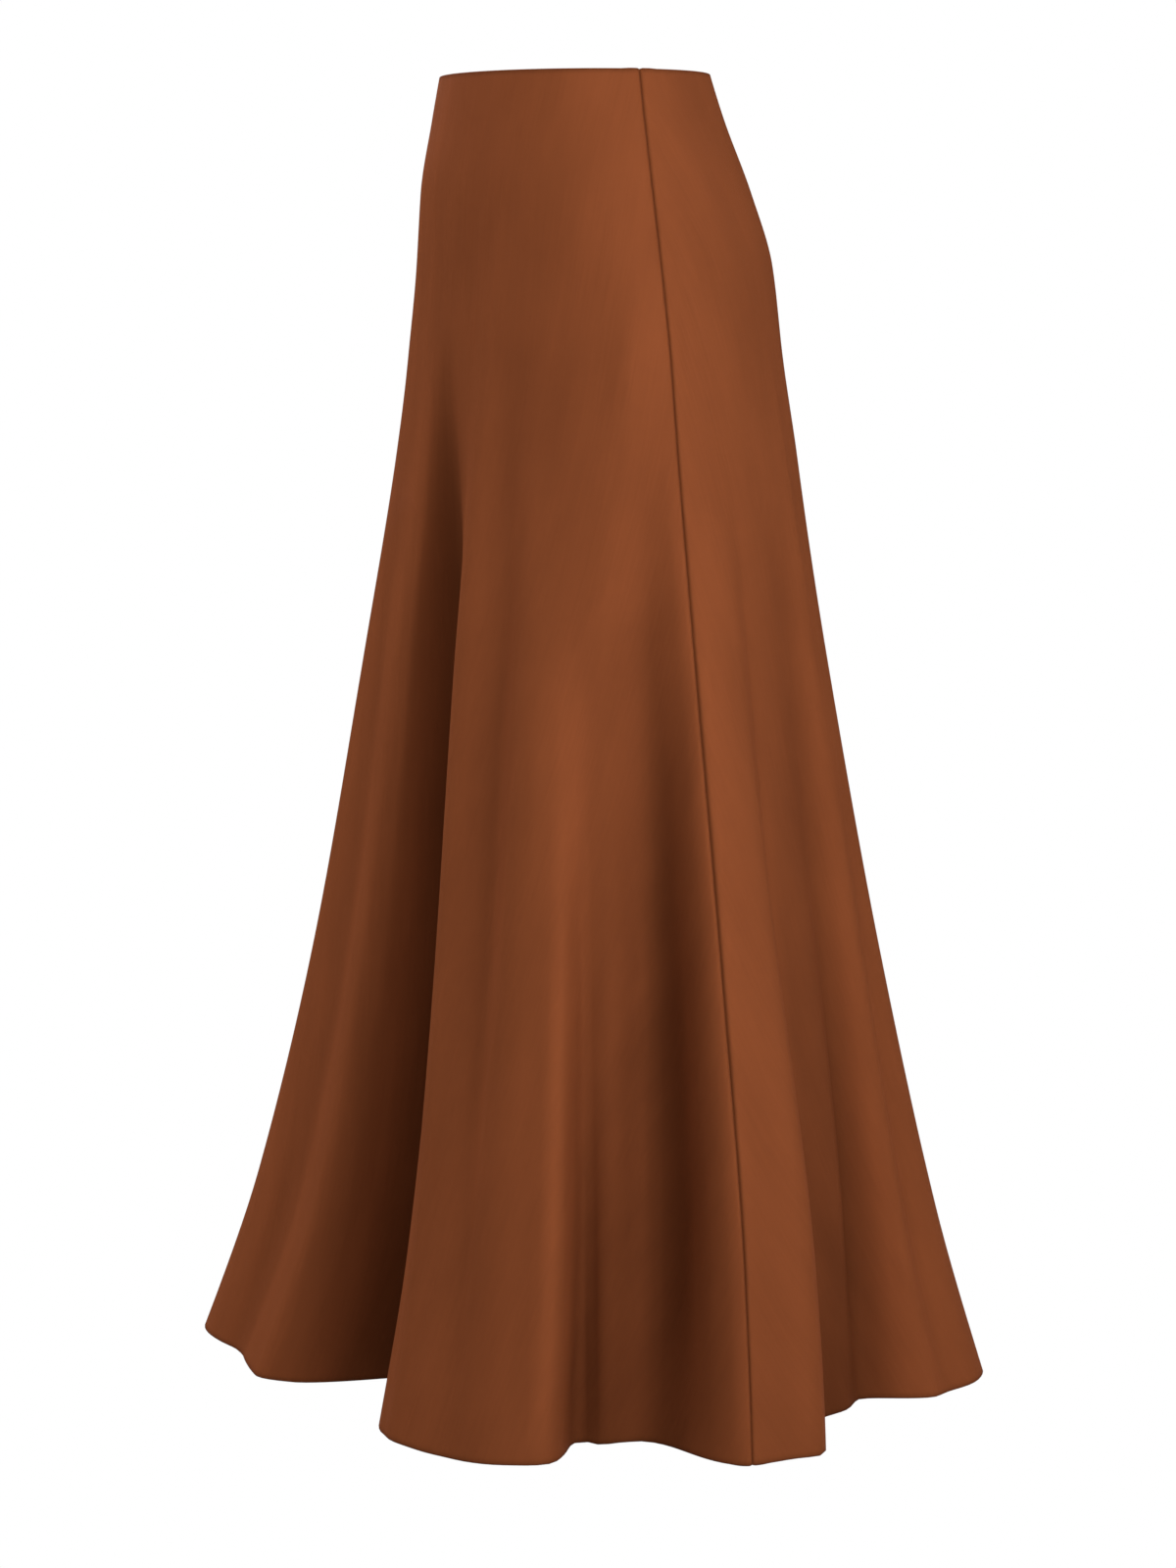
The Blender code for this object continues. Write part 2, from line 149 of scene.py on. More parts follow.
# Radius of a section: half an ellipse in front and half another behind, on one half width.
def bodyRadius(angles, halfWidth, frontDepth, backDepth):
    depth = np.where(np.sin(angles) < 0.0, frontDepth, backDepth)
    return 1.0 / np.sqrt((np.cos(angles) / halfWidth) ** 2 + (np.sin(angles) / depth) ** 2)


# A line that rises from 0 with no corner at its start: sqrt(share^2 + soft^2) - soft.
def softRamp(share):
    soft = skirtForm["foldStartShare"]
    return np.sqrt(share**2 + soft**2) - soft


# How far the flutes stand out at each angle and drop: each line's push at the hem, opened by
# softRamp(share below its start) to the power of its growth, and smooth curves from line to line.
def flutePush(angles, drops):
    length, wrap = skirtForm["length"], skirtForm["wrapRows"]
    columns = np.array([row[1:] for row in skirtForm["flutes"]]).T
    hemAngles, topAngles, hemRadii, starts, growths = columns
    hemAngles, topAngles = np.radians(hemAngles), np.radians(topAngles)
    hemSizes = [size[0] for size in sectionSizes(np.array([length]))]
    hemPush = hemRadii - bodyRadius(hemAngles, *hemSizes)
    below = np.clip((drops[:, None] - starts) / (length - starts), 0.0, None)
    push = hemPush * (softRamp(below) / softRamp(1.0)) ** growths
    lines = topAngles + (hemAngles - topAngles) * drops[:, None] / length
    # the first and last lines again, a whole turn away, so that the curve closes
    lines = np.hstack([lines[:, -wrap:] - math.tau, lines, lines[:, :wrap] + math.tau])
    push = np.hstack([push[:, -wrap:], push, push[:, :wrap]])
    slopes = np.zeros_like(push)
    slopes[:, 1:-1] = innerSlopes(lines, push)
    first = lines[:, :1].max()
    turned = (angles - first) % math.tau + first
    segment = (turned[:, :, None] >= lines[:, None, :]).sum(axis=2) - 1
    segment = np.clip(segment, 0, lines.shape[1] - 2)

    def at(table, shift):
        return np.take_along_axis(table, segment + shift, axis=1)

    step = at(lines, 1) - at(lines, 0)
    share = (turned - at(lines, 0)) / step
    return hermite(share, step, at(push, 0), at(push, 1), at(slopes, 0), at(slopes, 1))


# Distance of the form from the axis at each angle and drop.
def wallRadius(angles, drops):
    sizes = [size[:, None] for size in sectionSizes(drops)]
    return bodyRadius(angles, *sizes) + flutePush(angles, drops)


# The form's outside: (radius cos angle, radius sin angle, waist edge height - drop).
def wallPoints(angles, drops):
    radii = wallRadius(angles, drops)
    heights = np.broadcast_to(skirtForm["waistEdgeHeight"] - drops[:, None], radii.shape)
    return np.stack([radii * np.cos(angles), radii * np.sin(angles), heights], axis=-1)


# Vectors of length 1.
def unit(vectors):
    return vectors / np.linalg.norm(vectors, axis=-1, keepdims=True)


# Outward unit normals of the form: the cross product of small steps down and round it.
def wallNormals(angles, drops):
    step = 1e-4  # radians round the form, metres down it
    around = wallPoints(angles + step, drops) - wallPoints(angles - step, drops)
    down = wallPoints(angles, drops + step) - wallPoints(angles, drops - step)
    return unit(np.cross(down, around))


# 0 below 0, 1 above 1, and a smooth s between them.
def smoothStep(share):
    share = np.clip(share, 0.0, 1.0)
    return share**2 * (3.0 - 2.0 * share)


# A hump of height 1: exp(-(reach / width)^2).
def softHump(reach, width):
    return np.exp(-((reach / width) ** 2))


rimSteps = 5  # steps of the half circle that rounds off the top and the foot of a wall


# A closed wall from an outer and an inner grid of points: rows run down, angles grow along a row,
# and half circles round off its top and foot. Returns points, faces and which faces are inside.
def closedWall(outer, inner):
    rows, columns = outer.shape[:2]
    turns = np.arange(1, rimSteps)[:, None, None] * math.pi / rimSteps

    def rim(fromRow, toRow, onward):
        centre, arm = 0.5 * (fromRow + toRow), 0.5 * (fromRow - toRow)
        reach = unit(onward) * np.linalg.norm(arm, axis=-1, keepdims=True)
        return centre + np.cos(turns) * arm + np.sin(turns) * reach

    hemRim = rim(outer[-1], inner[-1], outer[-1] - outer[-2])
    topRim = rim(inner[0], outer[0], outer[0] - outer[1])
    points = np.concatenate([outer, hemRim, inner[::-1], topRim])
    loops = len(points)
    ring = np.arange(loops)[:, None] * columns
    across = np.arange(columns - 1)
    below = (ring + columns) % (loops * columns)
    skin = np.stack([ring + across, below + across, below + across + 1, ring + across + 1], axis=-1)
    inside = np.zeros((loops, columns - 1), dtype=bool)
    inside[rows + rimSteps - 1 : 2 * rows + rimSteps - 2] = True
    # the two side edges: quads between each outer row and the inner row behind it
    half = (rimSteps - 1) // 2
    near = np.arange(-half, rows + half)
    far = 2 * rows + rimSteps - 2 - near
    near, far = (near % loops) * columns, (far % loops) * columns
    firstCap = np.stack([near[1:], near[:-1], far[:-1], far[1:]], axis=-1)
    lastCap = np.stack([near[:-1], near[1:], far[1:], far[:-1]], axis=-1) + columns - 1
    faces = np.concatenate([skin.reshape(-1, 4), firstCap, lastCap])
    inside = np.concatenate([inside.ravel(), np.zeros(2 * len(firstCap), dtype=bool)])
    return points, faces, inside


# Spreads values known on the grid's rows over the loop that closedWall makes of them.
def aroundWall(grid):
    foot = np.repeat(grid[-1:], rimSteps - 1, axis=0)
    head = np.repeat(grid[:1], rimSteps - 1, axis=0)
    return np.concatenate([grid, foot, grid[::-1], head])


# A uv map for a closed wall, in metres: across the cloth, and down it from the waist edge.
def clothMap(across, drops):
    down = np.broadcast_to(drops[:, None], across.shape)
    return np.stack([aroundWall(across), aroundWall(down)], axis=-1)


# Fills a mesh object from whole arrays, with a uv map named cloth and point attributes.
def meshObject(name, points, faces, materials, uv=None, attributes=None, slots=None):
    points, faces = points.reshape(-1, 3), faces.reshape(-1, faces.shape[-1])
    corners = faces.shape[1]
    mesh = bpy.data.meshes.new(name)
    mesh.vertices.add(len(points))
    mesh.vertices.foreach_set("co", points.astype(np.float32).ravel())
    mesh.loops.add(faces.size)
    mesh.loops.foreach_set("vertex_index", faces.astype(np.int32).ravel())
    mesh.polygons.add(len(faces))
    mesh.polygons.foreach_set("loop_start", np.arange(len(faces), dtype=np.int32) * corners)
    for material in materials:
        mesh.materials.append(material)
    if slots is not None:
        mesh.polygons.foreach_set("material_index", slots.astype(np.int32))
    if uv is not None:
        layer = mesh.uv_layers.new(name="cloth")
        layer.uv.foreach_set("vector", uv.reshape(-1, 2)[faces.ravel()].astype(np.float32).ravel())
    for label, values in (attributes or {}).items():
        layer = mesh.attributes.new(label, "FLOAT", "POINT")
        layer.data.foreach_set("value", values.astype(np.float32).ravel())
    mesh.update(calc_edges=True)
    mesh.validate()
    mesh.shade_smooth()
    made = bpy.data.objects.new(name, mesh)
    bpy.context.scene.collection.objects.link(made)
    return made


# Triangles of a stack of rings, followed by the two points that close its first and last ring.
def ringFaces(rings, sides):
    ring = np.arange(rings - 1)[:, None] * sides
    here = np.arange(sides)
    there = (here + 1) % sides
    skin = np.stack([ring + here, ring + there, ring + sides + there, ring + sides + here], axis=-1)
    skin = skin.reshape(-1, 4)
    last, tip = (rings - 1) * sides, rings * sides
    firstEnd = np.stack([there, here, np.full(sides, tip)], axis=-1)
    lastEnd = np.stack([last + here, last + there, np.full(sides, tip + 1)], axis=-1)
    return np.concatenate([skin[:, [0, 1, 2]], skin[:, [0, 2, 3]], firstEnd, lastEnd])


# A tube of round section along a path: centre + radius (cos a side + sin a up), where side and up
# are square to the path. A point at each end closes it.
def tubeAlong(path, radius, sides):
    ahead = unit(np.gradient(path, axis=0))
    side = unit(np.cross(ahead, (1.0, 0.0, 0.0)))
    up = np.cross(ahead, side)
    turn = (np.arange(sides) * math.tau / sides)[:, None]
    rings = path[:, None] + radius * (np.cos(turn) * side[:, None] + np.sin(turn) * up[:, None])
    points = np.concatenate([rings.reshape(-1, 3), path[:1], path[-1:]])
    return points, ringFaces(len(path), sides)


def groupInput(group, name, kind, value):
    made = group.interface.new_socket(name=name, in_out="INPUT", socket_type="NodeSocket" + kind)
    made.default_value = value


def groupOutput(group, name, kind):
    group.interface.new_socket(name=name, in_out="OUTPUT", socket_type="NodeSocket" + kind)


def addNode(tree, kind, **settings):
    node = tree.nodes.new("ShaderNode" + kind)
    for key, value in settings.items():
        setattr(node, key, value)
    return node


# Places a node group in a material, with the material's own values.
def addGroup(tree, group, values):
    node = addNode(tree, "Group", node_tree=group)
    for name, value in values.items():
        node.inputs[name].default_value = value
    return node


# A math node, fed with sockets and numbers. Returns its output.
def mathNode(tree, operation, *values):
    node = addNode(tree, "Math", operation=operation)
    for slot, value in zip(node.inputs, values):
        if isinstance(value, bpy.types.NodeSocket):
            tree.links.new(value, slot)
        else:
            slot.default_value = value
    return node.outputs[0]


# |sin(pi phase)|
def absoluteSine(tree, phase):
    sine = mathNode(tree, "SINE", mathNode(tree, "MULTIPLY", phase, math.pi))
    return mathNode(tree, "ABSOLUTE", sine)


# Noise that is longer down the cloth than across it, at (across / width, down / width / stretch).
def stretchedNoise(tree, across, down, width, stretch, detail):
    place = addNode(tree, "CombineXYZ")
    tree.links.new(mathNode(tree, "DIVIDE", across, width), place.inputs[0])
    along = mathNode(tree, "DIVIDE", down, width)
    tree.links.new(mathNode(tree, "DIVIDE", along, stretch), place.inputs[1])
    noise = addNode(tree, "TexNoise", noise_dimensions="2D")
    noise.inputs["Scale"].default_value = 1.0
    noise.inputs["Detail"].default_value = detail
    tree.links.new(place.outputs[0], noise.inputs["Vector"])
    return noise.outputs[0]


# Woven cloth, on the uv map named cloth. Widths are metres, and stretches say how many times
# longer than wide a streak or a cloud is.
weave = {
    "yarnsPerMetre": 2600.0,
    "floatYarns": 5.0,  # a float is as long as this many yarns are wide
    "nextYarnShare": 0.4,  # how far along its float the next yarn ties
    "tieSoftness": 0.35,
    "streakWidth": 0.002,
    "streakStretch": 30.0,
    "streakDetail": 3.0,
    "cloudWidth": 0.06,
    "cloudStretch": 3.0,
    "cloudDetail": 2.0,
}


# Yarns run down the cloth: |sin(pi yarn)| rounds each one's top, and |sin(pi float)| to the power
# of the tie's softness breaks it at every tie. The faint streaks of an uneven warp and broad soft
# clouds, where the cloth takes the light unevenly, are noise.
def weaveGroup():
    group = bpy.data.node_groups.new("wovenCloth", "ShaderNodeTree")
    groupInput(group, "Yarns per metre", "Float", weave["yarnsPerMetre"])
    groupInput(group, "Float length", "Float", weave["floatYarns"])
    groupInput(group, "Streak width", "Float", weave["streakWidth"])
    groupInput(group, "Cloud width", "Float", weave["cloudWidth"])
    for name in ("Weave", "Streak", "Cloud"):
        groupOutput(group, name, "Float")
    start, end = group.nodes.new("NodeGroupInput"), group.nodes.new("NodeGroupOutput")
    given = start.outputs
    uv, parts = addNode(group, "UVMap", uv_map="cloth"), addNode(group, "SeparateXYZ")
    group.links.new(uv.outputs[0], parts.inputs[0])
    across, down = parts.outputs[0], parts.outputs[1]
    yarn = mathNode(group, "MULTIPLY", across, given["Yarns per metre"])
    crown = absoluteSine(group, yarn)
    along = mathNode(group, "MULTIPLY", down, given["Yarns per metre"])
    along = mathNode(group, "DIVIDE", along, given["Float length"])
    stepped = mathNode(group, "MULTIPLY", mathNode(group, "FLOOR", yarn), weave["nextYarnShare"])
    tie = absoluteSine(group, mathNode(group, "ADD", along, stepped))
    tie = mathNode(group, "POWER", tie, weave["tieSoftness"])
    group.links.new(mathNode(group, "MULTIPLY", crown, tie), end.inputs["Weave"])
    streak = stretchedNoise(group, across, down, given["Streak width"],
                            weave["streakStretch"], weave["streakDetail"])
    group.links.new(streak, end.inputs["Streak"])
    cloud = stretchedNoise(group, across, down, given["Cloud width"],
                           weave["cloudStretch"], weave["cloudDetail"])
    group.links.new(cloud, end.inputs["Cloud"])
    return group


noiseMiddle = 0.5  # the level about which noise moves up and down


# Shades a colour: x (1 + (cloud - middle) strength + (streak - middle) strength - hollow strength)
# x (1 - edge strength). The hollow term is painted shade in the valleys between the flutes, and
# the edge term is painted shade along the hem, the waist edge and the seams.
def shadeGroup():
    group = bpy.data.node_groups.new("clothShade", "ShaderNodeTree")
    groupInput(group, "Colour", "Color", (1.0, 1.0, 1.0, 1.0))
    for name in ("Cloud", "Streak"):
        groupInput(group, name, "Float", noiseMiddle)
    for name in ("Edge", "Hollow"):
        groupInput(group, name, "Float", 0.0)
    for name in ("Cloud", "Streak", "Edge", "Hollow"):
        groupInput(group, name + " strength", "Float", 0.0)
    groupOutput(group, "Shaded", "Color")
    start, end = group.nodes.new("NodeGroupInput"), group.nodes.new("NodeGroupOutput")
    given = start.outputs

    def strong(name, value):
        return mathNode(group, "MULTIPLY", value, given[name + " strength"])

    lift = strong("Cloud", mathNode(group, "SUBTRACT", given["Cloud"], noiseMiddle))
    grain = strong("Streak", mathNode(group, "SUBTRACT", given["Streak"], noiseMiddle))
    level = mathNode(group, "ADD", mathNode(group, "ADD", lift, grain), 1.0)
    # painted shade: the hollow share darkens the valleys, the edge share the hem, waist edge and
    # seams
    level = mathNode(group, "SUBTRACT", level, strong("Hollow", given["Hollow"]))
    paintedEdgeShade = mathNode(group, "SUBTRACT", 1.0, strong("Edge", given["Edge"]))
    scale = addNode(group, "VectorMath", operation="SCALE")
    group.links.new(given["Colour"], scale.inputs[0])
    group.links.new(mathNode(group, "MULTIPLY", level, paintedEdgeShade), scale.inputs["Scale"])
    group.links.new(scale.outputs[0], end.inputs["Shaded"])
    return group


wovenCloth, clothShade = weaveGroup(), shadeGroup()


# A new material, with its node tree and its shader.
def newMaterial(name):
    made = bpy.data.materials.new(name)
    made.use_nodes = True
    return made, made.node_tree, made.node_tree.nodes["Principled BSDF"]


# Roughness that goes from one value to another as a mask goes from 0 to 1.
def setRoughness(tree, shader, mask, atZero, atOne):
    gloss = addNode(tree, "MapRange")
    gloss.inputs["To Min"].default_value = atZero
    gloss.inputs["To Max"].default_value = atOne
    tree.links.new(mask, gloss.inputs["Value"])
    tree.links.new(gloss.outputs[0], shader.inputs["Roughness"])


def setBump(tree, shader, height, distance):
    bump = addNode(tree, "Bump")
    bump.inputs["Distance"].default_value = distance
    tree.links.new(height, bump.inputs["Height"])
    tree.links.new(bump.outputs[0], shader.inputs["Normal"])


# Colours are linear. The gleam is the share of the light that the dyed yarns give back in their
# own colour. Heights and sizes are metres.
satin = {
    "face": {"colour": (0.236, 0.0655, 0.0228), "roughness": 0.56, "specular": 0.02,
             "anisotropy": 0.35, "gleam": 0.20, "weaveHeight": 0.00005},
    "back": {"colour": (0.205, 0.060, 0.022), "roughness": 0.72, "specular": 0.10,
             "anisotropy": 0.0, "gleam": 0.0, "weaveHeight": 0.00010},
    "roughnessSpread": 0.04,
    "sheenWeight": 0.06,
    "sheenRoughness": 0.40,
    "sheenTint": (0.80, 0.24, 0.09),
    "specularTint": (1.0, 0.35, 0.15),
    "cloud": 0.20,
    "streak": 0.07,
    # strengths of the painted shade along the edges and seams (edge) and in the valleys (hollow)
    "edge": 0.38,
    "hollow": 0.50,
    "streakHeight": 0.00012,
    "cloudHeight": 0.0012,
    "cloudWidth": 0.035,
}


# Satin: its weave, streaks and clouds raise a fine bump, its clouds move the colour, painted shade
# darkens it in the valleys and along the edges and seams, and its streaks move the roughness.
def satinMaterial(name, side):
    made, tree, shader = newMaterial(name)
    cloth = addGroup(tree, wovenCloth, {"Cloud width": satin["cloudWidth"]})
    shade = addGroup(tree, clothShade, {
        "Colour": (*side["colour"], 1.0), "Cloud strength": satin["cloud"],
        "Streak strength": satin["streak"], "Edge strength": satin["edge"],
        "Hollow strength": satin["hollow"]})
    cloud, streak = cloth.outputs["Cloud"], cloth.outputs["Streak"]
    tree.links.new(cloud, shade.inputs["Cloud"])
    tree.links.new(streak, shade.inputs["Streak"])
    # the edge and hollow shares bring the painted shade into the colour
    for label in ("edge", "hollow"):
        share = addNode(tree, "Attribute", attribute_name=label)
        tree.links.new(share.outputs["Fac"], shade.inputs[label.capitalize()])
    tree.links.new(shade.outputs["Shaded"], shader.inputs["Base Color"])
    setRoughness(tree, shader, streak, side["roughness"] + satin["roughnessSpread"],
                 side["roughness"] - satin["roughnessSpread"])
    rise = mathNode(tree, "MULTIPLY", cloud, satin["cloudHeight"])
    rise = mathNode(tree, "MULTIPLY_ADD", streak, satin["streakHeight"], rise)
    rise = mathNode(tree, "MULTIPLY_ADD", cloth.outputs["Weave"], side["weaveHeight"], rise)
    setBump(tree, shader, rise, 1.0)  # the heights are metres already
    shader.inputs["Sheen Weight"].default_value = satin["sheenWeight"]
    shader.inputs["Sheen Roughness"].default_value = satin["sheenRoughness"]
    shader.inputs["Sheen Tint"].default_value = (*satin["sheenTint"], 1.0)
    shader.inputs["Specular IOR Level"].default_value = side["specular"]
    shader.inputs["Specular Tint"].default_value = (*satin["specularTint"], 1.0)
    shader.inputs["Anisotropic"].default_value = side["anisotropy"]
    shader.inputs["Metallic"].default_value = side["gleam"]
    return made


satinFace = satinMaterial("satinFace", satin["face"])
satinBack = satinMaterial("satinBack", satin["back"])
print("cloth materials made")

# The two satin panels, in metres and degrees.
panels = {
    "frontSeams": (-180.0, 0.0),
    "backSeams": (0.0, 180.0),
    "thickness": 0.0012,
    "columns": 150,
    "rows": 186,
    "hemSamples": 1440,
    # distances from an edge at which the first rows and columns stand
    "edgeSteps": (0.0, 0.0002, 0.0005, 0.0009, 0.0014, 0.0020, 0.0028, 0.0040, 0.0055, 0.0075,
                  0.0100, 0.0130),
    "seamGap": 0.00005,
    "zipGap": 0.0015,
    "zipGapDrop": 0.018,
    "zipGapEndDrop": 0.040,
    "seamRollWidth": 0.0030,  # each seam edge rolls in over this width
    "seamRollDepth": 0.0011,
    "seamRollPower": 2.2,
    "allowanceWidth": 0.011,  # the seam turnings, pressed open behind the cloth
    "allowanceFade": 0.002,
    "allowanceHeight": 0.0003,
    "allowanceThickness": 0.0004,
    "hemTurning": 0.012,
    "waistTurning": 0.010,
    "turningFade": 0.001,
    "turningThickness": 0.0004,
    # widths of the painted shade along the hem, the waist edge and the seams, and the neighbours
    # and depth that set the painted shade in the valleys
    "edgeShadeWidth": 0.0022,
    "seamShadeWidth": 0.0011,
    "valleyShadeTurns": (-24.0, -16.0, -8.0, 8.0, 16.0, 24.0),  # where a point's neighbours are taken
    "valleyShadeDepth": 0.030,
    # crease, its angle at the waist and at the hem, its width, the drops where it starts, stands
    # highest and ends, and its height (a trough below 0)
    "creases": (
        ("notch pull", -116, -112, 0.009, 0.72, 0.84, 1.00, -0.003),
        ("front crest fold", -96, -98, 0.012, 0.30, 0.60, 0.90, 0.002),
        ("rim ridge", -50, -49, 0.011, 0.08, 0.40, 1.30, 0.009),
        ("rim hollow", -38, -40, 0.014, 0.15, 0.50, 1.20, -0.009),
        ("front ridge", -29, -32, 0.022, 0.18, 0.50, 1.20, 0.005),
        ("hip pull", -5, -26, 0.012, 0.08, 0.22, 0.38, 0.002),
        ("hem nick", -9, -21, 0.008, 0.62, 0.86, 1.20, -0.005),
        ("nick ridge", -13, -18, 0.010, 0.45, 0.80, 1.20, 0.007),
        ("band ridge", -20, -27, 0.013, 0.35, 0.76, 1.30, 0.008),
        ("seam valley", -8, -9, 0.018, 0.18, 0.70, 1.02, -0.016),
        ("left crest lip", 10, 9, 0.012, 0.45, 0.85, 1.30, 0.008),
        ("left back fold", 34, 36, 0.008, 0.15, 0.32, 0.60, 0.002),
        ("left back ridge", 22, 27, 0.016, 0.40, 0.75, 1.10, 0.008),
        ("left back trough", 42, 45, 0.016, 0.40, 0.76, 1.10, -0.010),
        ("back left dip", 63, 62, 0.012, 0.30, 0.62, 1.10, -0.003),
        ("back hip pull", 78, 98, 0.013, 0.09, 0.24, 0.42, 0.002),
        ("back ridge", 88, 86, 0.016, 0.22, 0.55, 1.20, 0.004),
        ("back hem nick", 96, 97, 0.008, 0.62, 0.84, 1.20, -0.005),
        ("back right fold", 108, 106, 0.011, 0.34, 0.66, 0.98, 0.003),
        ("back right ridge", 128, 129, 0.018, 0.20, 0.52, 1.20, 0.004),
        ("back right hollow", 138, 137, 0.010, 0.45, 0.72, 1.20, -0.004),
        ("right back fold", 150, 152, 0.012, 0.18, 0.38, 0.66, 0.002),
        ("right back ridge", 169, 170, 0.013, 0.40, 0.70, 1.20, 0.003),
        ("right hem nick", 186, 185, 0.008, 0.60, 0.80, 1.20, -0.004),
        ("right front fold", 199, 197, 0.012, 0.20, 0.45, 0.80, 0.003),
        ("right front ridge", 216, 219, 0.016, 0.24, 0.58, 1.20, 0.004),
        ("front right hollow", 226, 229, 0.011, 0.36, 0.68, 1.05, -0.003),
    ),
}


# Soft ridges and troughs: height x how far it has grown at the drop (a smooth s from its start to
# its peak, and back to its end) x exp(-(distance across the crease / width)^2), summed over the
# table.
def creaseHeights(angles, drops, radii):
    total = np.zeros_like(angles)
    for name, topAngle, hemAngle, width, start, peak, end, height in panels["creases"]:
        line = np.radians(topAngle + (hemAngle - topAngle) * drops / skirtForm["length"])
        apart = (angles - line[:, None] + math.pi) % math.tau - math.pi
        rising, falling = (drops - start) / (peak - start), (end - drops) / (end - peak)
        grown = smoothStep(rising) * smoothStep(falling)
        total += height * grown[:, None] * softHump(apart * radii, width)
    return total


# How deep a point lies between its neighbours, from 0 to 1 in a deep valley: the tanh of (mean
# radius some degrees to each side - radius) / valley shade depth, where that is above 0. It sets
# how much painted shade a valley gets.
def valleyShadeShare(angles, drops, radii):
    here = radii + creaseHeights(angles, drops, radii)
    around = np.zeros_like(here)
    for turn in np.radians(panels["valleyShadeTurns"]):
        beside = wallRadius(angles + turn, drops)
        around += beside + creaseHeights(angles + turn, drops, beside)
    depth = np.maximum(around / len(panels["valleyShadeTurns"]) - here, 0.0)
    return np.tanh(depth / panels["valleyShadeDepth"])


# Drops of the rows: even, with the edge steps at the waist and at the hem.
def panelDrops():
    steps, length = np.array(panels["edgeSteps"]), skirtForm["length"]
    middle = np.linspace(steps[-1], length - steps[-1], panels["rows"])[1:-1]
    tip = 0.5 * panels["thickness"]
    drops = np.concatenate([steps, middle, length - steps[::-1]])
    return drops * (length - 2.0 * tip) / length + tip


# Angles of the columns: near each seam they stand at the edge steps' distances from it at every
# drop, and between those they part the rest of the panel as the hem's length is parted.
def panelAngles(firstSeam, lastSeam, drops, firstGap, lastGap):
    length, steps = np.array([skirtForm["length"]]), np.array(panels["edgeSteps"])
    firstRadius = wallRadius(np.full((len(drops), 1), firstSeam), drops)
    lastRadius = wallRadius(np.full((len(drops), 1), lastSeam), drops)
    first = firstSeam + (0.5 * firstGap[:, None] + steps) / firstRadius
    last = lastSeam - (0.5 * lastGap[:, None] + steps[::-1]) / lastRadius
    fine = np.linspace(first[-1, -1], last[-1, 0], panels["hemSamples"])
    hem = wallPoints(fine[None, :], length)[0]
    lengths = np.concatenate([[0.0], np.cumsum(np.linalg.norm(np.diff(hem, axis=0), axis=1))])
    even = np.interp(np.linspace(0.0, lengths[-1], panels["columns"]), lengths, fine)
    share = (even[1:-1] - even[0]) / (even[-1] - even[0])
    middle = first[:, -1:] + share * (last[:, :1] - first[:, -1:])
    return np.hstack([first, middle, last])


# One satin panel: the form's outside, moved along its normal by the creases, the flat ridge that
# the seam turnings press through and the roll at each seam, with its inside one thickness behind.
def satinPanel(name, node, seams, firstGap, lastGap, drops):
    firstSeam, lastSeam = math.radians(seams[0]), math.radians(seams[1])
    angles = panelAngles(firstSeam, lastSeam, drops, firstGap, lastGap)
    points, normals = wallPoints(angles, drops), wallNormals(angles, drops)
    normals[:, [0, -1], 1] = 0.0  # the seam edges stay in the seam's plane
    normals = unit(normals)
    radii = wallRadius(angles, drops)
    firstReach = (angles - firstSeam) * radii - 0.5 * firstGap[:, None]
    lastReach = (lastSeam - angles) * radii - 0.5 * lastGap[:, None]
    seamReach = np.maximum(np.minimum(firstReach, lastReach), 0.0)
    hemReach, waistReach = skirtForm["length"] - drops[:, None], drops[:, None]
    turned = smoothStep((panels["allowanceWidth"] - seamReach) / panels["allowanceFade"])
    hemmed = smoothStep((panels["hemTurning"] - hemReach) / panels["turningFade"])
    faced = smoothStep((panels["waistTurning"] - waistReach) / panels["turningFade"])
    roll = np.clip(1.0 - seamReach / panels["seamRollWidth"], 0.0, 1.0) ** panels["seamRollPower"]
    crease = creaseHeights(angles, drops, radii)
    lift = crease + panels["allowanceHeight"] * turned - panels["seamRollDepth"] * roll
    thickness = (panels["thickness"] + panels["allowanceThickness"] * turned
                 + panels["turningThickness"] * (hemmed + faced))
    outer = points + lift[..., None] * normals
    inner = points + (crease - thickness)[..., None] * normals
    wall, faces, inside = closedWall(outer, inner)
    # the uv map lies as the flat cloth, measured across from the panel's middle
    across = np.linalg.norm(np.diff(points, axis=1), axis=-1).cumsum(axis=1)
    across = np.hstack([np.zeros((len(drops), 1)), across])
    across -= 0.5 * across[:, -1:]
    # painted shade: darker along the hem, the waist edge and the seams, and in the valleys
    edge = np.maximum(softHump(np.minimum(hemReach, waistReach), panels["edgeShadeWidth"]),
                      softHump(seamReach, panels["seamShadeWidth"]))
    hollow = valleyShadeShare(angles, drops, radii)
    shares = {"edge": aroundWall(edge), "hollow": aroundWall(hollow)}
    uv = clothMap(across, drops)
    made = meshObject(name, wall, faces, (satinFace, satinBack), uv, shares, inside)
    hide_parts(node)
    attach(made, "skirt")
    print(name, "made with", len(faces) * 2, "triangles")


panelRows = panelDrops()
plainGap = np.full(len(panelRows), panels["seamGap"])
zipSeamGap = np.interp(panelRows, (panels["zipGapDrop"], panels["zipGapEndDrop"]),
                       (panels["zipGap"], panels["seamGap"]))
satinPanel("front_panel_satin", "front_panel", panels["frontSeams"],
           zipSeamGap, plainGap, panelRows)
satinPanel("back_panel_satin", "back_panel", panels["backSeams"],
           plainGap, zipSeamGap, panelRows)

# The concealed zip, inside the right side seam, in metres and degrees. Depths are measured
# inwards from the skirt's outside, and drops down from the waist edge.
zipSeam = {
    "angle": 180.0,
    "topDrop": 0.004,
    "length": 0.200,
}


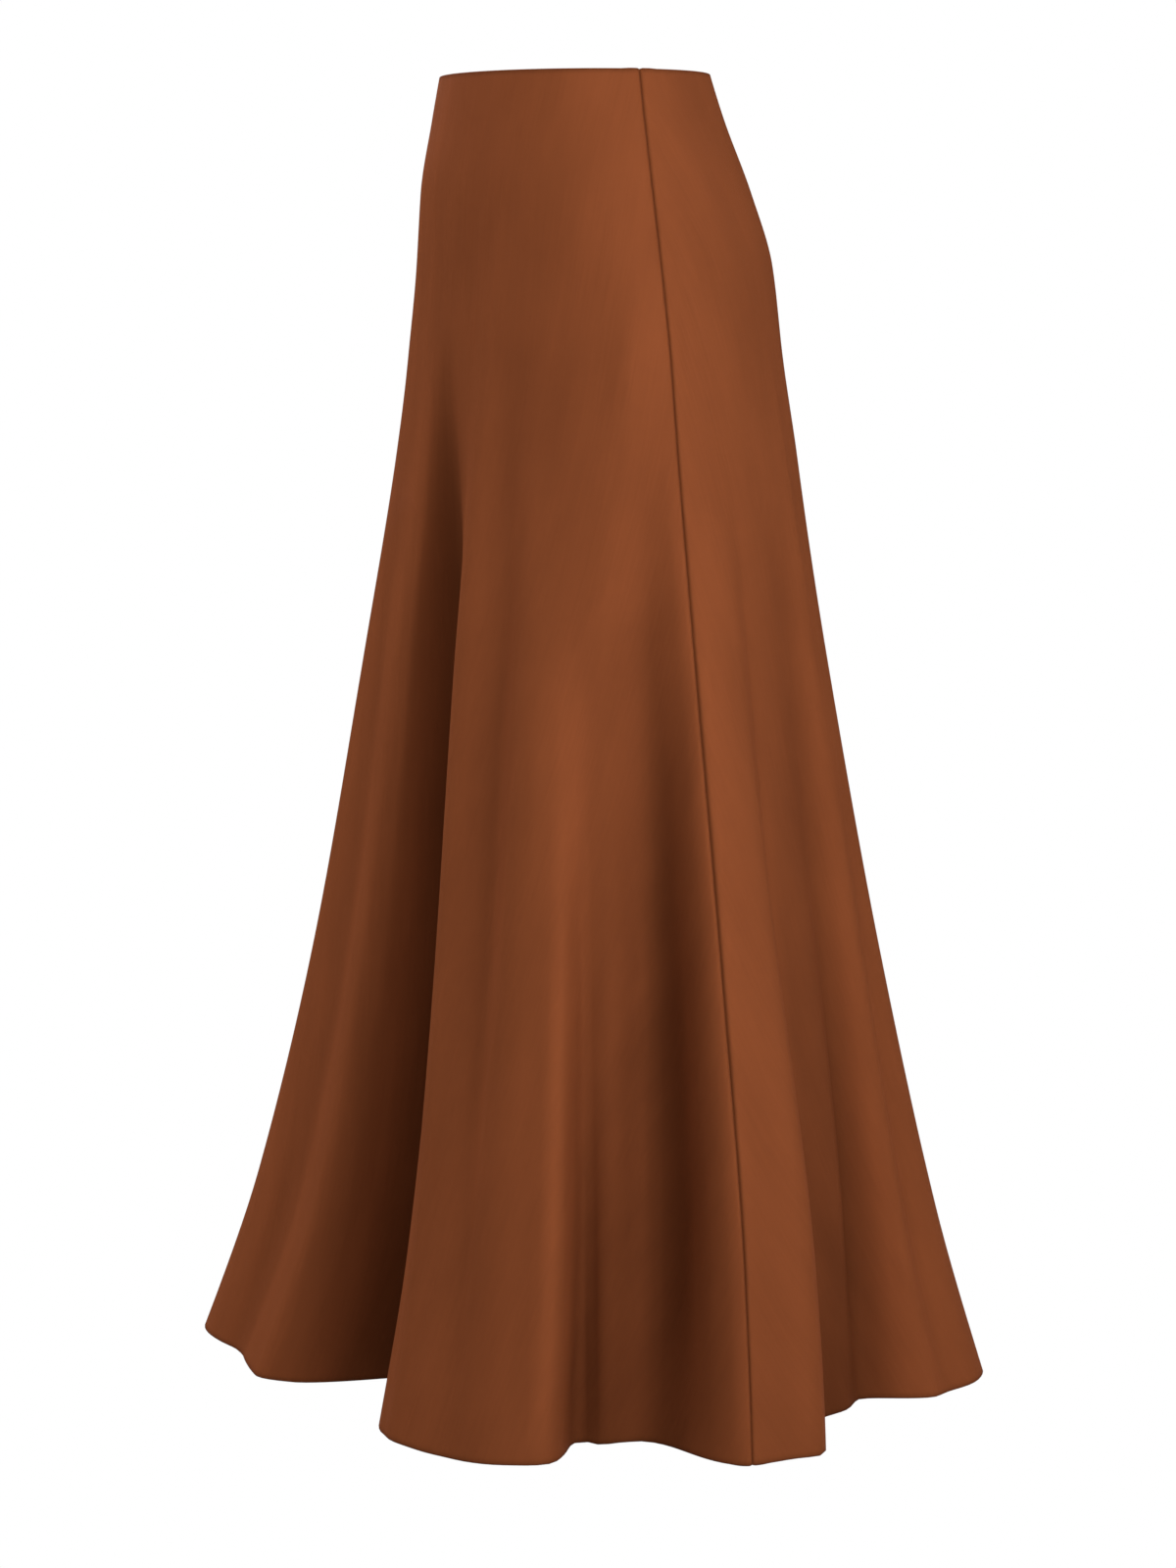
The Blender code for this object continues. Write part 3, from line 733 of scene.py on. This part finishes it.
# Points of a path beside the zip's seam: the skirt's outside at each drop, moved in along its
# normal by a depth and along y by a reach.
def besideSeam(drops, reach, depth):
    angles = np.full((len(drops), 1), math.radians(zipSeam["angle"]))
    normals = wallNormals(angles, drops)[:, 0]
    normals[:, 1] = 0.0
    points = wallPoints(angles, drops)[:, 0] - np.asarray(depth)[..., None] * unit(normals)
    points[:, 1] = reach
    return points


# The zip's two tapes. The colour is linear.
tapes = {
    "width": 0.012,
    "depth": 0.0021,
    "thickness": 0.0008,
    "cordThickness": 0.0002,  # the thicker edge beside the coil
    "cordWidth": 0.003,
    "footGap": 0.0003,  # between the two tapes, where the seam is closed
    "rows": 90,
    "columns": 17,
    "colour": (0.120, 0.036, 0.015),
    "yarnsPerMetre": 1800.0,
    "floatYarns": 2.0,
    "cloud": 0.12,
    "streak": 0.10,
    "roughness": 0.90,
    "yarnTopRoughness": 0.76,
    "weaveHeight": 0.00012,
    "specular": 0.25,
}


# Zip tape: short floats of coarser yarn on its own uv map.
def tapeMaterial():
    made, tree, shader = newMaterial("zipTape")
    cloth = addGroup(tree, wovenCloth, {"Yarns per metre": tapes["yarnsPerMetre"],
                                        "Float length": tapes["floatYarns"]})
    shade = addGroup(tree, clothShade, {"Colour": (*tapes["colour"], 1.0),
                                        "Cloud strength": tapes["cloud"],
                                        "Streak strength": tapes["streak"]})
    for name in ("Cloud", "Streak"):
        tree.links.new(cloth.outputs[name], shade.inputs[name])
    tree.links.new(shade.outputs["Shaded"], shader.inputs["Base Color"])
    woven = cloth.outputs["Weave"]
    setRoughness(tree, shader, woven, tapes["roughness"], tapes["yarnTopRoughness"])
    setBump(tree, shader, woven, tapes["weaveHeight"])
    shader.inputs["Specular IOR Level"].default_value = tapes["specular"]
    return made


zipTape = tapeMaterial()


# A tape: the skirt's outside moved in, from the seam's gap across the tape's width, with the
# thicker edge fading out as exp(-(reach / cord width)^2).
def zipTapePiece(name, node, side):
    drops = np.linspace(zipSeam["topDrop"], zipSeam["topDrop"] + zipSeam["length"], tapes["rows"])
    seam = np.full((len(drops), 1), math.radians(zipSeam["angle"]))
    gap = np.interp(drops, (panels["zipGapDrop"], panels["zipGapEndDrop"]),
                    (panels["zipGap"], tapes["footGap"]))
    reach = np.linspace(0.0, tapes["width"], tapes["columns"])
    across = reach[None, :] + 0.5 * gap[:, None]
    order = np.argsort(-side * reach)  # the angles of a wall grow along its rows
    angles = (seam - side * across / wallRadius(seam, drops))[:, order]
    points, normals = wallPoints(angles, drops), wallNormals(angles, drops)
    cord = tapes["cordThickness"] * softHump(reach[order], tapes["cordWidth"])
    outer = points - tapes["depth"] * normals
    inner = outer - (tapes["thickness"] + cord)[:, None] * normals
    wall, faces, _ = closedWall(outer, inner)
    made = meshObject(name, wall, faces, (zipTape,), clothMap(across[:, order], drops))
    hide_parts(node)
    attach(made, "skirt")


# What the zip's smaller parts are made of. Colours are linear.
zipFinishes = {
    "nylon": {"colour": (0.150, 0.044, 0.018), "roughness": 0.34, "specular": 0.5,
              "grainSize": 0.002, "grainHeight": 0.00002, "dye": 0.10},
    "enamel": {"colour": (0.170, 0.052, 0.022), "roughness": 0.30, "specular": 0.5,
               "grainSize": 0.0012, "grainHeight": 0.00003, "dye": 0.16},
    "thread": {"colour": (0.190, 0.056, 0.022), "roughness": 0.50, "specular": 0.35,
               "grainSize": 0.0006, "grainHeight": 0.00004, "dye": 0.20},
    "grainDetail": 3.0,
    "roughnessSpread": 0.06,
}


# Nylon, enamel or thread: one colour that an uneven dye moves a little, with a fine bump.
def zipMaterial(name, finish):
    made, tree, shader = newMaterial(name)
    place, grain = addNode(tree, "TexCoord"), addNode(tree, "TexNoise")
    grain.inputs["Scale"].default_value = 1.0 / finish["grainSize"]
    grain.inputs["Detail"].default_value = zipFinishes["grainDetail"]
    tree.links.new(place.outputs["Object"], grain.inputs["Vector"])
    shade = addGroup(tree, clothShade, {"Colour": (*finish["colour"], 1.0),
                                        "Cloud strength": finish["dye"]})
    tree.links.new(grain.outputs[0], shade.inputs["Cloud"])
    tree.links.new(shade.outputs["Shaded"], shader.inputs["Base Color"])
    spread = zipFinishes["roughnessSpread"]
    setRoughness(tree, shader, grain.outputs[0], finish["roughness"] - spread,
                 finish["roughness"] + spread)
    setBump(tree, shader, grain.outputs[0], finish["grainHeight"])
    shader.inputs["Specular IOR Level"].default_value = finish["specular"]
    return made


zipNylon = zipMaterial("zipNylon", zipFinishes["nylon"])
zipEnamel = zipMaterial("zipEnamel", zipFinishes["enamel"])
thread = zipMaterial("thread", zipFinishes["thread"])

# The two halves of the coil.
coils = {
    "topDrop": 0.0152,
    "footDrop": 0.2015,
    "depth": 0.0037,
    "aside": 0.0008,
    "reach": 0.0010,
    "rise": 0.00045,
    "pitch": 0.0011,
    "pointsPerTurn": 10,
    "wire": 0.00027,
    "sides": 6,
}


# Half of the coil: an ellipse that advances by one pitch a turn, sewn beside the seam:
# (reach cos turn + aside, rise sin turn), half a turn on from the other half's.
def zipCoil(name, side):
    turns = (coils["footDrop"] - coils["topDrop"]) / coils["pitch"]
    turn = np.linspace(0.0, turns, int(turns * coils["pointsPerTurn"])) * math.tau
    drops = coils["topDrop"] + coils["pitch"] * turn / math.tau
    turn = turn + (math.pi if side > 0 else 0.0)
    reach = side * (coils["aside"] + coils["reach"] * np.cos(turn))
    path = besideSeam(drops, reach, coils["depth"] + coils["rise"] * np.sin(turn))
    points, faces = tubeAlong(path, coils["wire"], coils["sides"])
    made = meshObject(name, points, faces, (zipNylon,))
    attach(made, "skirt")


# The stop at the coil's foot.
stop = {
    "drop": 0.2035,
    "halfSize": (0.0011, 0.0024, 0.0017),  # depth, width, height
    "softness": 0.45,
    "rings": 15,
    "sides": 28,
}


# A ball whose sines and cosines, raised to the softness, make it a rounded block.
def zipStop():
    rise = np.linspace(-0.5 * math.pi, 0.5 * math.pi, stop["rings"])[1:-1, None]
    around = np.arange(stop["sides"]) * math.tau / stop["sides"]

    def soft(value):
        return np.sign(value) * np.abs(value) ** stop["softness"]

    x = soft(np.cos(rise)) * soft(np.cos(around))
    y = soft(np.cos(rise)) * soft(np.sin(around))
    z = soft(np.sin(rise)) * np.ones_like(around)
    centre = besideSeam(np.array([stop["drop"]]), 0.0, coils["depth"])[0]
    halfSize = np.array(stop["halfSize"])
    block = np.stack([x, y, z], axis=-1).reshape(-1, 3)
    tips = np.array([(0.0, 0.0, -1.0), (0.0, 0.0, 1.0)])
    points = centre + halfSize * np.concatenate([block, tips])
    made = meshObject("zip_bottom_stop", points, ringFaces(len(rise), stop["sides"]), (zipEnamel,))
    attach(made, "skirt")


# The stitches that hold the tapes.
stitches = {
    "endMargin": 0.004,
    "reach": 0.0075,
    "length": 0.0018,
    "pitch": 0.0030,
    "radius": 0.00016,
    "arch": 2.2,  # rise of the arc and depth of its ends, both in radii
    "sink": 0.6,
    "points": 6,
    "sides": 6,
}


# A row of stitches that holds a tape to the seam's turning: each is a short arc over the tape,
# radius (arch sin(pi share) - sink) above it.
def tapeStitches(name, side):
    top, foot = zipSeam["topDrop"], zipSeam["topDrop"] + zipSeam["length"]
    first = np.arange(top + stitches["endMargin"], foot - stitches["endMargin"], stitches["pitch"])
    share = np.linspace(0.0, 1.0, stitches["points"])
    drops = first[:, None] + stitches["length"] * share
    arc = stitches["radius"] * (stitches["arch"] * np.sin(math.pi * share) - stitches["sink"])
    depth = np.tile(tapes["depth"] + tapes["thickness"] + arc, len(first))
    reach = np.full(drops.size, side * stitches["reach"])
    paths = besideSeam(drops.ravel(), reach, depth).reshape(len(first), len(share), 3)
    rows = [tubeAlong(path, stitches["radius"], stitches["sides"]) for path in paths]
    points = np.concatenate([row[0] for row in rows])
    shifts = np.arange(len(rows)) * len(rows[0][0])
    faces = np.concatenate([row[1] + shift for row, shift in zip(rows, shifts)])
    made = meshObject(name, points, faces, (thread,))
    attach(made, "skirt")


zipTapePiece("zip_tape_front_woven", "zip_tape_front", -1.0)
zipTapePiece("zip_tape_back_woven", "zip_tape_back", 1.0)
zipCoil("zip_coil_front", -1.0)
zipCoil("zip_coil_back", 1.0)
zipStop()
tapeStitches("zip_stitches_front", -1.0)
tapeStitches("zip_stitches_back", 1.0)
for metal in ("zip_slider", "zip_pull"):
    bpy.data.objects[metal].material_slots[0].material = zipEnamel
print("zip made")

camera = {
    "azimuth": 68.0,  # degrees round from the front
    "distance": 2.8,
    "height": -0.122,
    "pitch": 7.33,
    "lens": 91.9,
    "sensorWidth": 36.0,
    "clip": (0.1, 60.0),
    "aside": 0.009,
}


# Unit vectors away from the skirt and to the right of that, at an azimuth round from the front.
def sideways(azimuth):
    turn = math.radians(azimuth)
    away = Vector((math.sin(turn), -math.cos(turn), 0.0))
    return away, Vector((math.cos(turn), math.sin(turn), 0.0))


def makeCamera():
    away, right = sideways(camera["azimuth"])
    data = bpy.data.cameras.new("camera")
    data.lens = camera["lens"]
    data.sensor_width = camera["sensorWidth"]
    data.clip_start, data.clip_end = camera["clip"]
    made = bpy.data.objects.new("camera", data)
    bpy.context.scene.collection.objects.link(made)
    made.location = camera["distance"] * away + camera["aside"] * right
    made.location.z = camera["height"]
    tilt, turn = math.radians(90.0 - camera["pitch"]), math.radians(camera["azimuth"])
    made.rotation_euler = (tilt, 0.0, turn)
    bpy.context.scene.camera = made


# Soft panels of light. Azimuths run as the camera's, elevations are above the horizon, both in
# degrees, and each panel faces the middle of the skirt.
studio = {
    "middle": (0.0, 0.0, -0.45),
    "floorHeight": -1.05,
    "floorSize": 40.0,
    "floorColour": (0.35, 0.35, 0.35),  # what the floor gives back to the skirt
    "paperWhite": (1.0, 1.0, 1.0),  # what the camera sees of the floor and behind it
    "ambient": 0.03,
    "softboxSize": (1.0, 1.6),
    "distance": 2.6,
    # name, azimuth, elevation, watts
    "lights": (
        ("right_softbox_high", 103.0, 23.0, 41.0),
        ("right_softbox_low", 105.0, 5.0, 10.0),
        ("left_softbox_high", -55.0, 40.0, 24.0),
        ("left_softbox_low", -35.0, 5.0, 16.0),
        ("front_softbox", 40.0, 44.0, 25.0),
        ("back_softbox_low", 180.0, 5.0, 6.0),
        ("back_softbox_high", 205.0, 55.0, 22.0),
        ("far_side_softbox", 270.0, 35.0, 14.0),
    ),
}


def softLight(name, azimuth, elevation, watts):
    rise = math.radians(elevation)
    away = math.cos(rise) * sideways(azimuth)[0] + Vector((0.0, 0.0, math.sin(rise)))
    data = bpy.data.lights.new(name, "AREA")
    data.shape = "RECTANGLE"
    data.size, data.size_y = studio["softboxSize"]
    data.energy = watts
    made = bpy.data.objects.new(name, data)
    made.location = Vector(studio["middle"]) + studio["distance"] * away
    made.rotation_euler = (-away).to_track_quat("-Z", "Y").to_euler()
    bpy.context.scene.collection.objects.link(made)


# Floor paper: white to the eye, so that the floor and what is behind it are one even white, and a
# mid grey in the light that it gives back.
def paperMaterial():
    made, tree, shader = newMaterial("paper")
    tree.nodes.remove(shader)
    seen, white = addNode(tree, "LightPath"), addNode(tree, "Emission")
    white.inputs["Color"].default_value = (*studio["paperWhite"], 1.0)
    matt, mix = addNode(tree, "BsdfDiffuse"), addNode(tree, "MixShader")
    matt.inputs["Color"].default_value = (*studio["floorColour"], 1.0)
    tree.links.new(seen.outputs["Is Camera Ray"], mix.inputs[0])
    tree.links.new(matt.outputs[0], mix.inputs[1])
    tree.links.new(white.outputs[0], mix.inputs[2])
    tree.links.new(mix.outputs[0], tree.nodes["Material Output"].inputs["Surface"])
    return made


# Air: paper white to the eye, and a faint even light on the skirt.
def makeWorld():
    world = bpy.data.worlds.new("studio")
    world.use_nodes = True
    tree = world.node_tree
    seen, level = addNode(tree, "LightPath"), addNode(tree, "MapRange")
    level.inputs["To Min"].default_value = studio["ambient"]
    level.inputs["To Max"].default_value = 1.0
    tree.links.new(seen.outputs["Is Camera Ray"], level.inputs["Value"])
    tree.nodes["Background"].inputs["Color"].default_value = (*studio["paperWhite"], 1.0)
    tree.links.new(level.outputs[0], tree.nodes["Background"].inputs["Strength"])
    bpy.context.scene.world = world


def makeStudio():
    size, height = 0.5 * studio["floorSize"], studio["floorHeight"]
    corners = [(-size, -size, height), (size, -size, height), (size, size, height),
               (-size, size, height)]
    meshObject("floor", np.array(corners), np.array([[0, 1, 2, 3]]), (paperMaterial(),))
    for row in studio["lights"]:
        softLight(*row)
    makeWorld()
    bpy.context.scene.view_settings.view_transform = "Standard"


makeCamera()
makeStudio()
print("camera and studio set")
